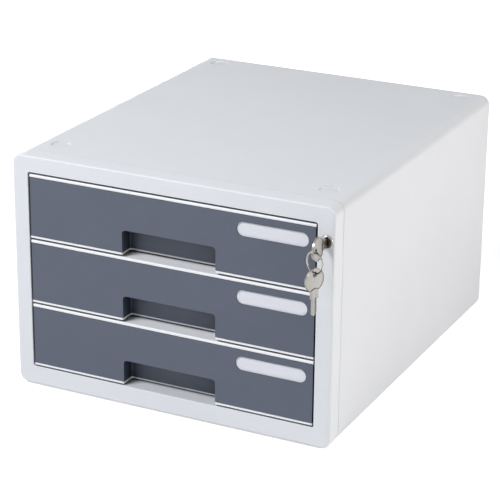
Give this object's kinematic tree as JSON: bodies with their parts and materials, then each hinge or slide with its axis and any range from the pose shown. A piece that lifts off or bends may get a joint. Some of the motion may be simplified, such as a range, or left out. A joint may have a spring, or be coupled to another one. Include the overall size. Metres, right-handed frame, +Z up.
{
  "type": "desktop file drawer",
  "caption": "Desktop file organizer with pull-out trays in a pale plastic casing, slate fronts with finger pockets and label windows, and a side lock with keys on a ring.",
  "frame": {"origin": "middle of the overall box, key ring included, on the plane that the feet stand on", "axes": "+X to the right seen from the front, +Y towards the back, +Z up; the drawers pull out along -Y"},
  "size_m": [0.2821, 0.3619, 0.198],
  "materials": {
    "casing_plastic": "pale cool grey moulded plastic, fine satin texture",
    "bezel_plastic": "pale cool grey moulded plastic, smooth satin",
    "guide_plastic": "pale grey moulded plastic",
    "tray_plastic": "white moulded plastic, semi-gloss",
    "cover_plastic": "slate grey moulded plastic, fine matte grain",
    "label_card": "smooth white card",
    "foot_rubber": "soft grey rubber",
    "screw_steel": "zinc plated steel",
    "zinc_steel": "zinc plated sheet steel",
    "lock_chrome": "polished chrome",
    "plug_metal": "dark turned metal",
    "key_nickel": "warm nickel plate, fine stamping marks",
    "ring_chrome": "bright nickel wire"
  },
  "bodies": {
    "casing": {"casing_shell": "casing_plastic", "front_bezel": "bezel_plastic", "back_panel": "casing_plastic", "left_guide": "guide_plastic", "right_guide": "guide_plastic", "foot_front_left": "foot_rubber", "foot_front_right": "foot_rubber", "foot_back_left": "foot_rubber", "foot_back_right": "foot_rubber", "guide_screws": "screw_steel", "back_screws": "screw_steel", "lock_housing": "lock_chrome", "lock_clip": "screw_steel"},
    "drawer_bottom": {"tray_bottom": "tray_plastic", "front_cover_bottom": "cover_plastic", "label_card_bottom": "label_card"},
    "drawer_middle": {"tray_middle": "tray_plastic", "front_cover_middle": "cover_plastic", "label_card_middle": "label_card"},
    "drawer_top": {"tray_top": "tray_plastic", "front_cover_top": "cover_plastic", "label_card_top": "label_card"},
    "lock_plug": {"lock_plug": "plug_metal", "lock_crank": "zinc_steel", "crank_screw": "screw_steel"},
    "lock_rod": {"lock_rod": "zinc_steel"},
    "key": {"key": "key_nickel"},
    "key_ring": {"key_ring": "ring_chrome"},
    "spare_key": {"spare_key": "key_nickel"}
  },
  "joints": [
    {"name": "drawer_bottom_slide", "type": "slide", "parent": "casing", "child": "drawer_bottom", "axis": [0, -1, 0], "range_m": [0, 0.2395]},
    {"name": "drawer_middle_slide", "type": "slide", "parent": "casing", "child": "drawer_middle", "axis": [0, -1, 0], "range_m": [0, 0.2395]},
    {"name": "drawer_top_slide", "type": "slide", "parent": "casing", "child": "drawer_top", "axis": [0, -1, 0], "range_m": [0, 0.2395]},
    {"name": "lock_turn", "type": "hinge", "parent": "casing", "child": "lock_plug", "pos_m": [0.1337, -0.15099, 0.1705], "axis": [0, -1, 0], "range_deg": [0, 90.2]},
    {"name": "lock_rod_slide", "type": "slide", "parent": "casing", "child": "lock_rod", "axis": [0, 0, 1], "range_m": [-0.00749, 0]},
    {"name": "key_pull", "type": "slide", "parent": "lock_plug", "child": "key", "axis": [0, -1, 0], "range_m": [0, 0.014]},
    {"name": "ring_swing", "type": "hinge", "parent": "key", "child": "key_ring", "pos_m": [0.1337, -0.17209, 0.16975], "axis": [1, 0, 0], "range_deg": [-60, 8]},
    {"name": "spare_key_swing", "type": "hinge", "parent": "key_ring", "child": "spare_key", "pos_m": [0.1337, -0.17209, 0.15315], "axis": [0.9272, -0.3746, 0], "range_deg": [-25, 12]}
  ],
  "couplings": [
    {"joint": "lock_turn", "follows": "lock_rod_slide", "rad_per_m": -209.57}
  ]
}
